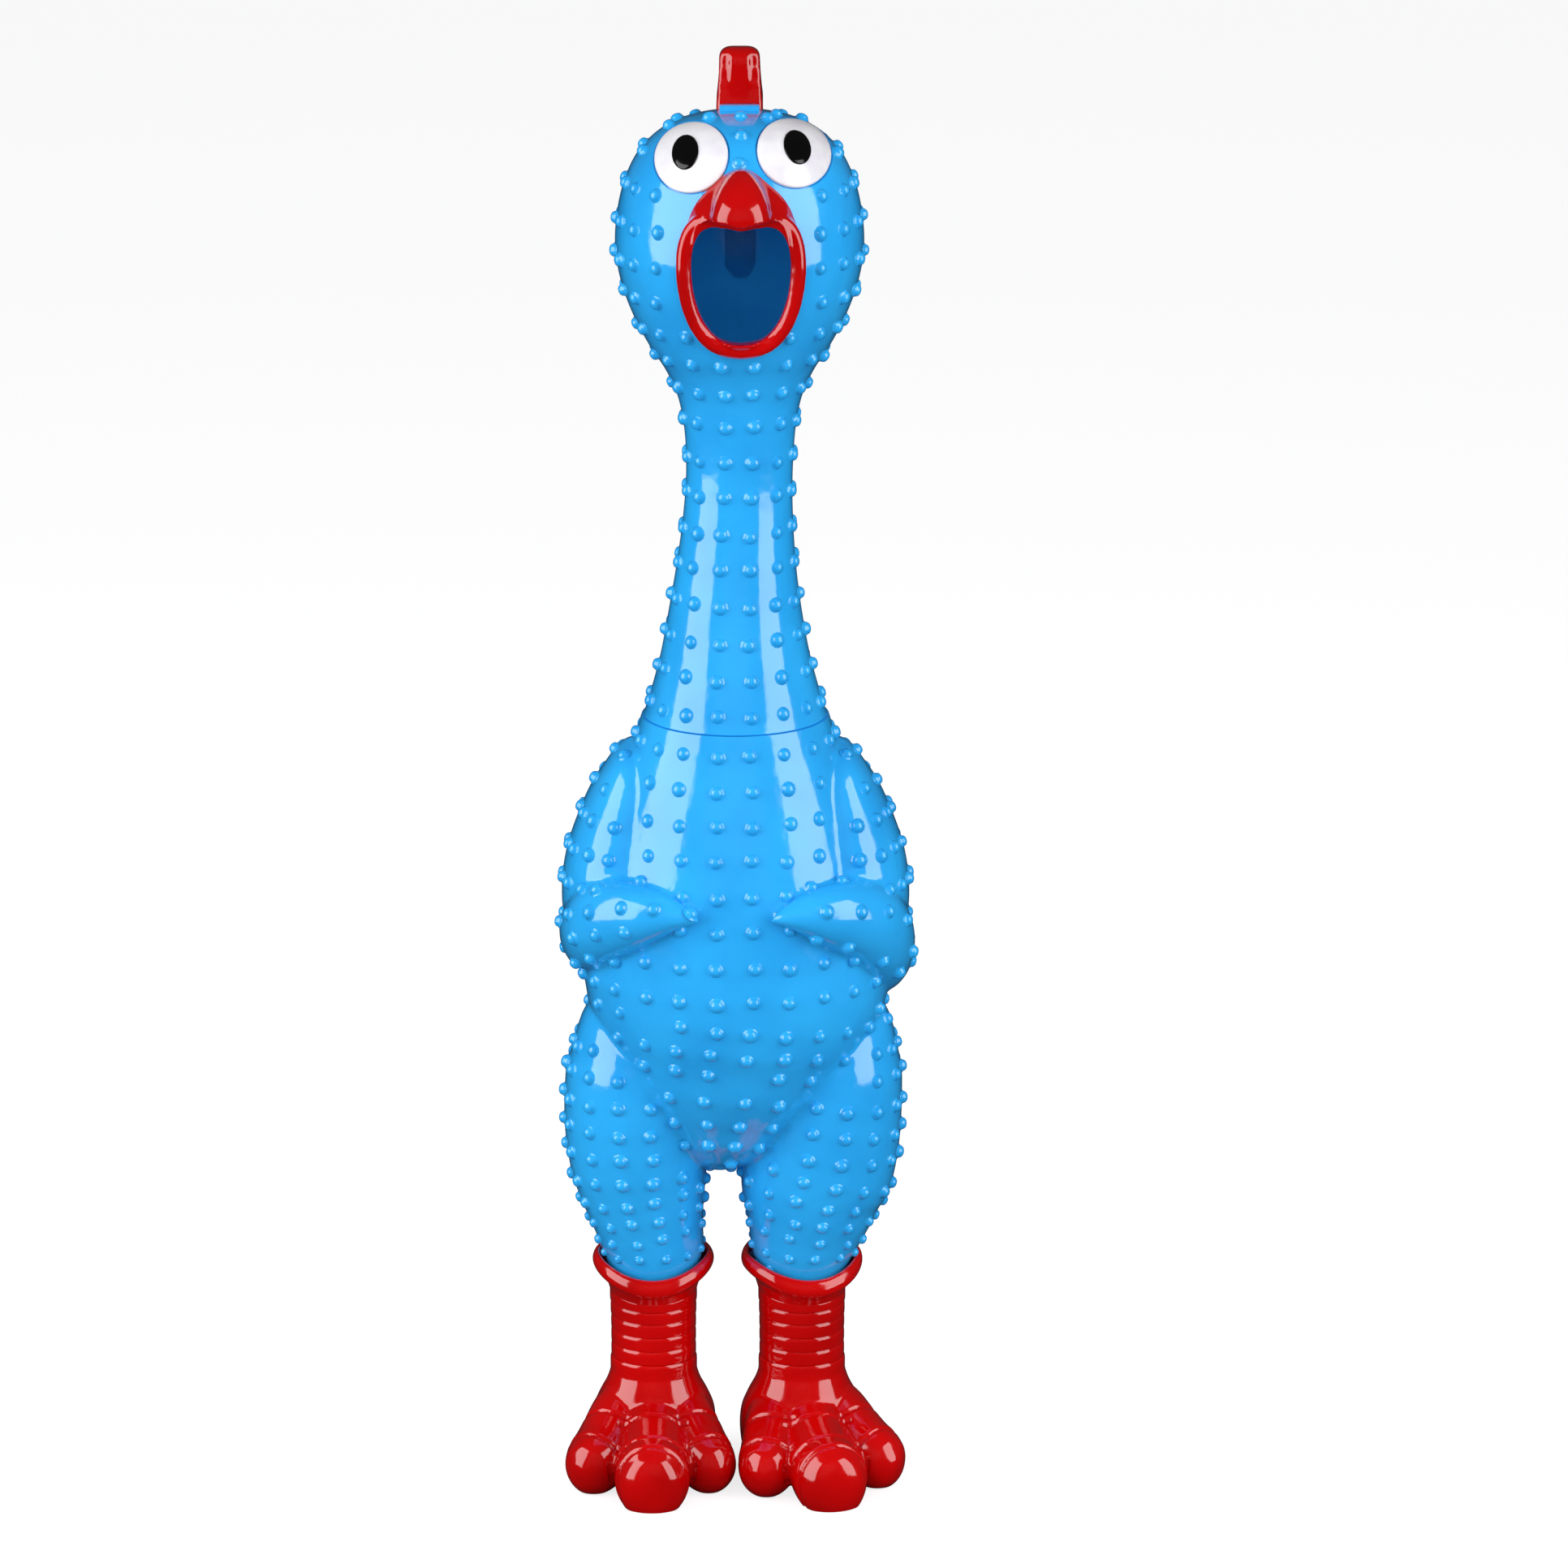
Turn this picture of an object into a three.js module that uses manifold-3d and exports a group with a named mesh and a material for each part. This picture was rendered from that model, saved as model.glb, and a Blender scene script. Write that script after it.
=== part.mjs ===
// A squawking rubber chicken, 58 cm tall, assembled from hollow vinyl mouldings.
//
// The head and neck are one blue moulding that snaps on a spigot at the top of the blue body, and turns on it.
// The body ends in two leg stubs, and each stub is pushed into a red boot that turns on it. A red comb, a red
// beak with its lip, and two eyes with their pupils are fixed in openings of the head. A reed whistle sits in
// the spigot, between the body, which is the bellows, and the neck, which is the horn.
//
// Millimetres, +Z up, the chicken faces -Y, and its own left side is at +X. The origin is on the floor under
// the middle of the chicken's box. The nubs of the skin are too fine for this model and are left out.
import * as THREE from "three";
import { mergeVertices } from "three/addons/utils/BufferGeometryUtils.js";
import Module from "manifold-3d";

// ---------- Driving dimensions ----------
const HEIGHT = 580; // floor to the top of the comb
const WALL = 2.5; // thickness of the vinyl
const GAP = 0.3; // left between two pieces that touch
const AXIS_Y = 2; // the legs, body and neck stand this far behind the middle of the box

const SEAM_Z = 315; // where the neck meets the body
const SEAM_R = 36.3;
const SPIGOT_R = 26.6; // the ring on the body that the neck snaps over
const SPIGOT_TOP = 322;
const SNAP_BEAD = 1.8; // how far its bead stands out above the neck's flange
const FLANGE = 3; // thickness of the neck's inward flange

const HEAD_Z = 507; // the widest level of the head
const CROWN_Z = 556;
const COMB_TOP = HEIGHT - CROWN_Z; // height of the comb at its front

const LEG_APART = 30; // each leg axis from the middle
const LEG_SWAY = -3.5; // both ankles stand a little to the chicken's right
const LEFT_FOOT_TURN = 14; // degrees that the left foot points outwards at rest
const STUB_BOTTOM = 55.8;
const CUFF_R = 24.2;

// ---------- Materials ----------
const vinyl = (color) => new THREE.MeshStandardMaterial({ color, roughness: 0.2, metalness: 0 });
const blueVinyl = vinyl(0x33aef7);
const redVinyl = vinyl(0xc60406);
const whitePlastic = vinyl(0xfaf9fb);
const blackPlastic = vinyl(0x0a0909);
const whistlePlastic = new THREE.MeshStandardMaterial({ color: 0xe9e6dc, roughness: 0.45, metalness: 0 });
const reedFilm = new THREE.MeshStandardMaterial({ color: 0xd8dde0, roughness: 0.3, metalness: 0 });

// ---------- Solids ----------
const wasm = await Module();
wasm.setup();

const v2 = (x, y) => new THREE.Vector2(x, y);
const v3 = (x, y, z) => new THREE.Vector3(x, y, z);

/** A closed geometry as a manifold-3d solid. */
function solid(geometry) {
  const bare = geometry.clone();
  bare.deleteAttribute("normal");
  bare.deleteAttribute("uv");
  const merged = mergeVertices(bare, 1e-4);
  return new wasm.Manifold(
    new wasm.Mesh({
      numProp: 3,
      vertProperties: merged.attributes.position.array,
      triVerts: new Uint32Array(merged.index.array),
    }),
  );
}

/** A manifold-3d solid as a named three.js mesh. */
function piece(name, body, material) {
  const { vertProperties, triVerts } = body.getMesh();
  const geometry = new THREE.BufferGeometry();
  geometry.setAttribute("position", new THREE.BufferAttribute(vertProperties, 3));
  geometry.setIndex(new THREE.BufferAttribute(triVerts, 1));
  geometry.computeVertexNormals();
  const mesh = new THREE.Mesh(geometry, material);
  mesh.name = name;
  return mesh;
}

const join = (bodies) => bodies.reduce((whole, body) => whole.add(body));

/** Stations of a limb from rows of [x, y, z, half width, half depth]. */
const stations = (rows) => rows.map(([x, y, z, wide, deep = wide]) => ({ at: v3(x, y, z), wide, deep }));

/** The same limb a wall thinner all over: each station moves in along the normal of the limb's outline. */
function inset(limbStations, wall) {
  return limbStations.map(({ at, wide, deep }, i) => {
    const before = limbStations[Math.max(i - 1, 0)];
    const after = limbStations[Math.min(i + 1, limbStations.length - 1)];
    const run = after.at.clone().sub(before.at);
    const rise = after.wide - before.wide;
    const slope = Math.hypot(run.length(), rise);
    const shrink = (wall * run.length()) / slope;
    return {
      at: at.clone().addScaledVector(run.clone().normalize(), (wall * rise) / slope),
      wide: Math.max(wide - shrink, 0),
      deep: Math.max(deep - shrink, 0),
    };
  });
}

/** A limb with oval sections: a lathe of radius one, bent on to a spline through the stations. */
function limb(limbStations, { steps = 12, around = 20, side = v3(1, 0, 0) } = {}) {
  const spine = new THREE.CatmullRomCurve3(limbStations.map(({ at }) => at));
  const halves = new THREE.SplineCurve(limbStations.map(({ wide, deep }) => v2(wide, deep)));
  const levels = Array.from({ length: steps + 1 }, (_, i) => i / steps);
  const outline = [v2(0, 0), ...levels.map((t) => v2(1, t)), v2(0, 1)];
  const geometry = new THREE.LatheGeometry(outline, around);
  const position = geometry.attributes.position;
  for (let i = 0; i < position.count; i++) {
    const t = position.getY(i);
    const along = spine.getTangent(t);
    const across = side.clone().addScaledVector(along, -side.dot(along)).normalize();
    const deep = across.clone().cross(along);
    const half = halves.getPoint(t);
    const p = spine
      .getPoint(t)
      .addScaledVector(across, position.getX(i) * Math.max(half.x, 0))
      .addScaledVector(deep, position.getZ(i) * Math.max(half.y, 0));
    position.setXYZ(i, p.x, p.y, p.z);
  }
  return geometry;
}

/** A turned solid about +Z from [radius, z] pairs that start and end on the axis, or close on themselves. */
function turned(pairs, around = 28) {
  return new THREE.LatheGeometry(
    pairs.map(([r, z]) => v2(r, z)),
    around,
  ).rotateX(Math.PI / 2);
}

/** A round rod along Z. */
const rod = (r, low, high, around = 28) => turned([[0, low], [r, low], [r, high], [0, high]], around);

/** A flat outline in X and Z, run along Y from the front to the back. */
function prism(outline, front, back, settings = {}) {
  const shape = outline instanceof THREE.Shape ? outline : new THREE.Shape(outline);
  return new THREE.ExtrudeGeometry(shape, { depth: back - front, bevelEnabled: false, ...settings })
    .rotateX(Math.PI / 2)
    .translate(0, back, 0);
}

const block = (low, high) =>
  new THREE.BoxGeometry(high[0] - low[0], high[1] - low[1], high[2] - low[2]).translate(
    (low[0] + high[0]) / 2,
    (low[1] + high[1]) / 2,
    (low[2] + high[2]) / 2,
  );

const mirrored = (rows) => rows.map(([x, ...rest]) => [-x, ...rest]);

// ---------- Head and neck ----------
const headRows = [
  [0, 0, SEAM_Z, SEAM_R],
  [0, 0, 327, 32.7],
  [0, 0, 340, 29.4],
  [0, 0, 356, 26.5],
  [0, 0, 374, 23.8],
  [0, 0, 392, 21.9],
  [0, 0, 408, 21],
  [0, 0, 422, 21.2],
  [0, 0, 434, 22.3],
  [0, 0, 445, 24.8],
  [0, 0, 455, 29.4],
  [0, 0, 465, 35.8],
  [0, 0, 475, 41],
  [0, 0, 486, 45.3],
  [0, 0, 497, 47.9],
  [0, 0, HEAD_Z, 48.6],
  [0, 0, 519, 47.4],
  [0, 0, 530, 44.6],
  [0, 0, 540, 39.7],
  [0, 0, 548, 32],
  [0, 0, 553, 22.5],
  [0, 0, 555.4, 11],
  [0, 0, CROWN_Z, 0],
];
const headOuter = stations(headRows);
const headSize = { steps: 24, around: 26 };
const headSolid = solid(limb(headOuter, headSize));
/** The head's outer surface moved out by a distance, to keep pieces clear of it. */
const headSwollen = (by) => solid(limb(inset(headOuter, -by), headSize));

const headCavity = inset(headOuter, WALL);
headCavity[0].at.z = SEAM_Z + FLANGE;

/** Mouth opening, right half of its outline from the top to the bottom, as [x, z]. */
const MOUTH_HALF = [
  [0, 518.6],
  [7, 519.6],
  [13.5, 519.2],
  [17.6, 515.6],
  [19.1, 509],
  [19.4, 502],
  [18.6, 494],
  [16.6, 486.5],
  [13, 480],
  [7.6, 475.2],
  [0, 473.5],
];

/** The mouth's outline grown by a distance on every side. */
function mouthOutline(grow, points = 30) {
  const left = MOUTH_HALF.slice(1, -1).map(([x, z]) => [-x, z]);
  const ring = [...MOUTH_HALF, ...left.reverse()].map(([x, z]) => v3(x, 0, z));
  const curve = new THREE.CatmullRomCurve3(ring, true);
  return Array.from({ length: points }, (_, i) => {
    const p = curve.getPoint(i / points);
    const along = curve.getTangent(i / points);
    return v2(p.x - along.z * grow, p.z + along.x * grow);
  });
}

const EYE_AT = { x: 20.6, y: -29.5, z: 543.6, tilt: 17, turn: 5 };
const EYE = { x: 0, z: 0, wide: 14.9, tall: 16.2, sunk: 1, proud: 1.8 };
const PUPIL = { x: 0.6, z: 1.8, wide: 5.2, tall: 7.1, sunk: -0.9, proud: 2.6 };

/** A layer of the skin under an oval, in the direction that the eye looks, grown all over by a gap. */
function eyeLayer(side, { x, z, wide, tall, sunk, proud }, gap = 0) {
  const column = new THREE.CylinderGeometry(1, 1, 44, 20)
    .scale(wide + gap, 1, tall + gap)
    .translate(side * x, 0, z)
    .rotateX(-THREE.MathUtils.degToRad(EYE_AT.tilt))
    .rotateZ(THREE.MathUtils.degToRad(side * EYE_AT.turn))
    .translate(side * EYE_AT.x, EYE_AT.y, EYE_AT.z);
  return solid(column)
    .intersect(headSwollen(proud + gap))
    .subtract(headSwollen(-sunk - gap));
}

// ---------- Comb ----------
const COMB = { thick: 16.8, slot: 14.4, skin: 2.2, root: 7, round: 3.2 };
/** Comb outline about the head's middle: degrees from straight back, and share of its height at the front. */
const COMB_TEETH = [
  [83, 0.17],
  [86, 0.91],
  [82, 1],
  [70, 0.97],
  [60, 0.83],
  [54, 0.46],
  [48, 0.58],
  [41, 0.81],
  [31, 0.79],
  [24, 0.54],
  [20, 0.33],
  [14, 0.46],
  [7, 0.62],
  [-3, 0.58],
  [-11, 0.35],
  [-19, 0.2],
  [-25, 0.02],
];
const combPoint = (degrees, radius) => {
  const a = THREE.MathUtils.degToRad(degrees);
  return v2(Math.cos(a) * radius, HEAD_Z + Math.sin(a) * radius);
};

/** The comb's side view, in Y and Z, with its root at a depth under the skin.
 *  It is shrunk by a distance at its edge, and by a number of degrees at its two ends. */
function combSide(root, shrink = 0, trim = 0) {
  const skin = CROWN_Z - HEAD_Z;
  const [[first]] = COMB_TEETH;
  const [last] = COMB_TEETH[COMB_TEETH.length - 1];
  const share = 1 - (2 * trim) / (first - last);
  const turn = (degrees) => (first + last) / 2 + (degrees - (first + last) / 2) * share;
  const teeth = new THREE.SplineCurve(COMB_TEETH.map(([a, h]) => combPoint(turn(a), skin + h * COMB_TOP - shrink)));
  const rootArc = Array.from({ length: 9 }, (_, i) => turn(last + ((first - last) * i) / 8));
  return [...teeth.getPoints(32), ...rootArc.map((degrees) => combPoint(degrees, skin - root))];
}

/** A side view in Y and Z as a plate across X, with its outer edges rounded towards the head's middle. */
function plate(outline, thick, round = 0) {
  const geometry = new THREE.ExtrudeGeometry(new THREE.Shape(outline), {
    depth: thick,
    steps: round > 0 ? 8 : 1,
    bevelEnabled: false,
  })
    .translate(0, 0, -thick / 2)
    .rotateX(Math.PI / 2)
    .rotateZ(Math.PI / 2);
  const position = geometry.attributes.position;
  for (let i = 0; i < position.count; i++) {
    const [x, y, z] = [position.getX(i), position.getY(i), position.getZ(i) - HEAD_Z];
    const over = Math.max(Math.abs(x) - (thick / 2 - round), 0) / Math.max(round, 1);
    const drop = round * (1 - Math.sqrt(Math.max(1 - over * over, 0)));
    const share = 1 - drop / Math.hypot(y, z);
    position.setXYZ(i, x, y * share, HEAD_Z + z * share);
  }
  return geometry;
}

function makeComb() {
  const outside = solid(plate(combSide(2), COMB.thick, COMB.round)).subtract(headSwollen(GAP));
  const tabThick = COMB.slot - 2 * GAP;
  const tab = solid(plate(combSide(COMB.root, 3.5, 1.2), tabThick)).intersect(headSwollen(2));
  const hollow = solid(plate(combSide(COMB.root + 3, 5.5, 4), tabThick - 2 * COMB.skin));
  return piece("comb", outside.add(tab).subtract(hollow), redVinyl);
}

// ---------- Beak ----------
const LIP_R = 3;
const SLEEVE = 1.6; // thickness of the sleeve that goes through the mouth opening
const MOUTH_DEPTH = -34; // how far back the sleeve reaches

/** How far forward the head's skin stands at a height, off the middle. */
function skinFront(x, z) {
  const i = Math.max(1, headRows.findIndex((row) => row[2] >= z));
  const [low, high] = [headRows[i - 1], headRows[i]];
  const share = (z - low[2]) / (high[2] - low[2]);
  const r = low[3] + (high[3] - low[3]) * share;
  return -Math.sqrt(Math.max(r * r - x * x, 0));
}

function makeBeak() {
  const path = mouthOutline(LIP_R - 0.2, 32).map(({ x, y: z }) => v3(x, skinFront(x, z) - 1.4, z));
  const section = new THREE.Shape().absarc(0, 0, LIP_R, 0, 2 * Math.PI);
  const lip = new THREE.ExtrudeGeometry(section, {
    steps: 32,
    curveSegments: 6,
    extrudePath: new THREE.CatmullRomCurve3(path, true),
  });
  const hood = limb(
    stations([
      [0, -26, 538, 0, 0],
      [0, -31, 535, 8, 6],
      [0, -38, 530, 15, 10],
      [0, -46, 524, 20.5, 13],
      [0, -54, 518.5, 23.4, 13.5],
      [0, -61, 514.5, 21, 11],
      [0, -66, 512.5, 13, 7],
      [0, -68, 512, 0, 0],
    ]),
    { steps: 12, around: 18 },
  );
  const mouth = solid(prism(mouthOutline(0), -90, -20));
  const sleeve = solid(prism(mouthOutline(SLEEVE), -60, MOUTH_DEPTH)).intersect(headSwollen(2));
  const outside = solid(lip)
    .add(solid(hood))
    .subtract(headSwollen(GAP))
    .subtract(eyeLayer(1, EYE, GAP))
    .subtract(eyeLayer(-1, EYE, GAP));
  return piece("beak", outside.add(sleeve).subtract(mouth), redVinyl);
}

function makeHead() {
  const slot = solid(plate(combSide(COMB.root + 6, -6, 0.8), COMB.slot));
  const mouth = solid(prism(mouthOutline(SLEEVE + GAP), -90, -20));
  const shell = headSolid
    .subtract(solid(limb(headCavity, { steps: 14, around: 18 })))
    .subtract(solid(rod(SPIGOT_R + 0.5, SEAM_Z - 5, SEAM_Z + FLANGE + 5)))
    .subtract(mouth)
    .subtract(slot)
    .subtract(eyeLayer(1, EYE, GAP))
    .subtract(eyeLayer(-1, EYE, GAP));
  return piece("head_shell", shell, blueVinyl);
}

const sideName = (side) => (side > 0 ? "left" : "right");
const makeEye = (side) =>
  piece(`eye_${sideName(side)}`, eyeLayer(side, EYE).subtract(eyeLayer(side, PUPIL, GAP)), whitePlastic);
const makePupil = (side) => piece(`pupil_${sideName(side)}`, eyeLayer(side, PUPIL), blackPlastic);

// ---------- Body ----------
const torso = stations([
  [-4.5, -13.5, 130, 0, 0],
  [-4.4, -12, 133, 12, 11],
  [-4.2, -10, 140, 22.5, 21],
  [-3.6, -7, 152, 35.5, 33],
  [-2.6, -3.5, 167, 47, 42],
  [-1.3, -1, 182, 55.5, 48],
  [0, 0, 198, 60, 51],
  [0, 0, 215, 61.5, 52],
  [0, 0, 235, 60, 51],
  [0, 0, 255, 56, 48.5],
  [0, 0, 275, 50.5, 45],
  [0, 0, 292, 45, 41.5],
  [0, 0, 305, 40.3, 39],
  [0, 0, SEAM_Z - GAP, SEAM_R],
]);

const legX = (side) => side * LEG_APART + LEG_SWAY;
const legRows = (side) => [
  [side * 40, 2, 206, 0, 0],
  [side * 41, 1, 201, 11, 15],
  [side * 41.5, 0, 190, 20.3, 24],
  [side * 41, 0, 175, 26.3, 30],
  [side * 40, 0, 160, 28.7, 31.5],
  [side * 38.5 + 0.2 * LEG_SWAY, 0, 145, 29.8, 31.5],
  [side * 36.5 + 0.5 * LEG_SWAY, 0, 130, 29.3, 30.5],
  [side * 34 + 0.8 * LEG_SWAY, 0, 117, 28, 28],
  [side * 31.5 + LEG_SWAY, 0, 106, 24.4, 24.4],
  [legX(side), 0, 99, 21.7, 21.7],
  [legX(side), 0, 92, 20.1, 20.1],
];
/** The leg stub below the cuff, as [radius, z], with the bead that holds the boot. */
const stubOutline = [
  [0, STUB_BOTTOM],
  [11.5, STUB_BOTTOM],
  [13.8, 59],
  [14.3, 63.5],
  [15.4, 66],
  [14.9, 68.5],
  [16.2, 74],
  [17.6, 80],
  [19, 86],
  [20.2, 92.4],
  [0, 92.4],
];

const upperArmRows = [
  [45, 3, 304, 0, 0],
  [44, 3, 300, 7, 11],
  [43.5, 3, 290, 13.8, 20],
  [43.5, 3, 275, 19.8, 26],
  [44, 2, 258, 23.4, 29],
  [44.5, 0, 241, 24.4, 29],
  [45, -2, 226, 22, 26],
  [45, -2, 214, 12, 15],
  [45, -2, 210, 0, 0],
];
const forearmRows = [
  [44, 22, 219, 0, 0],
  [50, 16, 219.5, 12.5, 11],
  [55, 3, 222.5, 15.8, 14.5],
  [55.5, -13, 230, 17, 15],
  [49.5, -27, 238, 17, 15],
  [39, -39.5, 243, 13.5, 12],
  [28, -47.5, 245.5, 8.6, 8],
  [19.5, -51.5, 245.5, 3.9, 4.2],
  [14, -53.8, 244.5, 0, 0],
];
const wingSettings = { steps: 9, around: 12 };

function limbsOfBody(wall) {
  const made = (rows, settings) => solid(limb(wall ? inset(stations(rows), wall) : stations(rows), settings));
  const legSettings = wall ? { steps: 7, around: 12 } : { steps: 11, around: 16 };
  const arms = { ...wingSettings, side: v3(1, 0, 0) };
  const forearms = { ...wingSettings, side: v3(0, 0, -1) };
  const bodies = [made(legRows(1), legSettings), made(legRows(-1), legSettings)];
  bodies.push(made(upperArmRows, arms), made(mirrored(upperArmRows), arms));
  if (!wall) bodies.push(made(forearmRows, forearms), made(mirrored(forearmRows), forearms));
  return bodies;
}

function makeBody() {
  const stub = (side, outline) => solid(turned(outline, 18).translate(legX(side), 0, 0));
  const spigot = solid(
    turned([
      [0, SEAM_Z - 8],
      [SPIGOT_R, SEAM_Z - 8],
      [SPIGOT_R, SEAM_Z + FLANGE + 0.6],
      [SPIGOT_R + SNAP_BEAD, SEAM_Z + FLANGE + 1.6],
      [SPIGOT_R + SNAP_BEAD, SPIGOT_TOP - 1.4],
      [SPIGOT_R, SPIGOT_TOP],
      [0, SPIGOT_TOP],
    ]),
  );
  const outer = join([
    solid(limb(torso, { steps: 15, around: 26 })),
    ...limbsOfBody(0),
    stub(1, stubOutline),
    stub(-1, stubOutline),
    spigot,
  ]);

  const cavity = inset(torso, WALL);
  cavity[cavity.length - 1].at.z = SEAM_Z - GAP - FLANGE;
  const stubCavity = [
    [0, STUB_BOTTOM + 3],
    [10.5, STUB_BOTTOM + 3],
    [11.8, 64],
    [13.4, 74],
    [16.2, 86],
    [18, 96],
    [0, 96],
  ];
  const inner = join([
    solid(limb(cavity, { steps: 9, around: 18 })),
    ...limbsOfBody(WALL),
    stub(1, stubCavity),
    stub(-1, stubCavity),
    solid(rod(SPIGOT_R - 2.8, SEAM_Z - 12, SPIGOT_TOP + 1)),
  ]);
  return piece("body_shell", outer.subtract(inner), blueVinyl);
}

// ---------- Boots ----------
const shank = stations([
  [0, 1, -4, 21, 22.5],
  [0, 1, 6, 22.6, 23.6],
  [0, 1, 16, 22.6, 23.4],
  [0, 0.6, 26, 21, 21.8],
  [0, 0, 36, 18.9, 19.4],
  [0, 0, 46, 17.5, 17.8],
  [0, 0, 56, 17.4, 17.5],
  [0, 0, 66, 18.4, 18.4],
  [0, 0, 74, 19.5, 19.5],
]);
/** The flared cuff as a closed ring of [radius, z]. */
const cuffOutline = [
  [18.6, 70],
  [19.5, 74],
  [20.8, 80],
  [22.2, 83.6],
  [23.8, 85.8],
  [CUFF_R, 88.4],
  [23.7, 90.6],
  [22.6, 91.6],
  [21.4, 90.4],
  [20.1, 85.5],
  [18.6, 80],
  [17, 74],
  [16.2, 70],
];
const socketOutline = [
  [0, 52],
  [14.2, 52],
  [14.4, 60],
  [14.9, 63],
  [16.1, 65.6],
  [15.7, 69],
  [17, 74],
  [18.6, 80],
  [20.1, 85.5],
  [21.4, 90.4],
  [24, 97],
  [0, 97],
];
const middleToe = [
  [0, 4, 25, 9, 9],
  [0, -8, 20, 13.2, 13],
  [0, -21, 15.6, 14.6, 14.6],
  [0, -34, 13.7, 15.2, 15.2],
  [0, -46, 13.1, 15.2, 15],
  [0, -56.5, 12.6, 11, 11.4],
  [0, -62, 12.4, 0, 0],
];
const sideToe = [
  [3, 2, 24, 8, 8],
  [8, -7, 18.6, 10.6, 11],
  [13.2, -15, 14.6, 11.6, 12],
  [18, -23, 12, 12.2, 12.4],
  [22, -30, 11, 11.6, 12],
  [26, -36.4, 10.6, 8, 9],
  [28.2, -40, 10.4, 0, 0],
];
const CUFF_DIP = 7; // the cuff's front stands this much lower than its sides
const CUFF_RISE = 2.5; // and its back this much higher

/** Bends a turned cuff or socket so that its mouth is low in front and high behind. */
function dipped(geometry) {
  const position = geometry.attributes.position;
  for (let i = 0; i < position.count; i++) {
    const [y, z] = [position.getY(i), position.getZ(i)];
    const share = THREE.MathUtils.smoothstep(z, 68, 86) * Math.min((y / CUFF_R) ** 2, 1);
    position.setZ(i, z + share * (y < 0 ? -CUFF_DIP : CUFF_RISE));
  }
  return geometry;
}

function makeBoot(side) {
  const toes = [middleToe, sideToe, mirrored(sideToe)];
  const toe = (rows, wall, settings) => solid(limb(wall ? inset(stations(rows), wall) : stations(rows), settings));
  const below = solid(block([-60, -90, -30], [60, 60, 0]));
  const outer = join([
    solid(limb(shank, { steps: 8, around: 18 })),
    solid(dipped(turned([...cuffOutline, cuffOutline[0]], 18))),
    ...toes.map((rows) => toe(rows, 0, { steps: 6, around: 11 })),
  ]).subtract(below);

  const footWall = 2.8;
  const floor = solid(block([-60, -90, -30], [60, 60, footWall]));
  const hollow = inset(shank, footWall).slice(0, 7);
  const inner = join([
    solid(limb(hollow, { steps: 4, around: 14 })),
    ...toes.map((rows) => toe(rows, footWall, { steps: 4, around: 8 })),
  ]).subtract(floor);
  const socket = solid(dipped(turned(socketOutline, 18)));
  const boot = piece(`boot_${sideName(side)}`, outer.subtract(inner).subtract(socket), redVinyl);
  boot.position.set(legX(side), 0, 0);
  boot.rotation.z = side > 0 ? THREE.MathUtils.degToRad(LEFT_FOOT_TURN) : 0;
  return boot;
}

// ---------- Reed whistle ----------
const WHISTLE_BORE = 6.5;
const SHALLOT = { r: WHISTLE_BORE - GAP, low: 307, high: 343, channel: 3 };
const REED = { wide: 9, thick: 0.5, low: 321, high: 341 };
const CUP_FLOOR = 306;

function makeWhistle() {
  const housing = solid(
    turned([
      [WHISTLE_BORE, CUP_FLOOR],
      [23.4, CUP_FLOOR],
      [23.4, SPIGOT_TOP + GAP],
      [26.2, SPIGOT_TOP + GAP],
      [26.2, SPIGOT_TOP + 2.3],
      [21.6, SPIGOT_TOP + 2.3],
      [21.6, CUP_FLOOR + 2],
      [9, CUP_FLOOR + 2],
      [8.6, 326],
      [WHISTLE_BORE, 326],
      [WHISTLE_BORE, CUP_FLOOR],
    ]),
  );
  const behind = solid(block([-10, 0, 290], [10, 10, 360]));
  const channel = solid(block([-SHALLOT.channel, -1, SHALLOT.low + 9], [SHALLOT.channel, 3.6, SHALLOT.high - 4]));
  const drain = solid(rod(2.2, SHALLOT.low - 1, SHALLOT.low + 12, 12).translate(0, 2.4, 0));
  const shallot = solid(rod(SHALLOT.r, SHALLOT.low, SHALLOT.high, 20)).intersect(behind);
  const reedFront = -GAP - REED.thick;
  const clamp = solid(rod(SHALLOT.r, SHALLOT.low, REED.low - GAP, 20)).subtract(
    solid(block([-10, reedFront + REED.thick, 290], [10, 10, 360])),
  );
  return [
    piece("whistle_housing", housing, whistlePlastic),
    piece("whistle_shallot", shallot.subtract(channel).subtract(drain), whistlePlastic),
    piece("whistle_clamp", clamp, whistlePlastic),
    piece(
      "whistle_reed",
      solid(block([-REED.wide / 2, reedFront, REED.low], [REED.wide / 2, reedFront + REED.thick, REED.high])),
      reedFilm,
    ),
  ];
}

// ---------- The chicken ----------
const chicken = new THREE.Group();
chicken.add(makeBody(), makeHead(), makeComb(), makeBeak());
for (const side of [1, -1]) chicken.add(makeEye(side), makePupil(side), makeBoot(side));
chicken.add(...makeWhistle());
chicken.position.y = AXIS_Y;

export default chicken;
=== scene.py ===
import math
import random

import bmesh
import bpy
import numpy as np
from mathutils import Matrix, Vector
from mathutils.bvhtree import BVHTree


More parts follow.
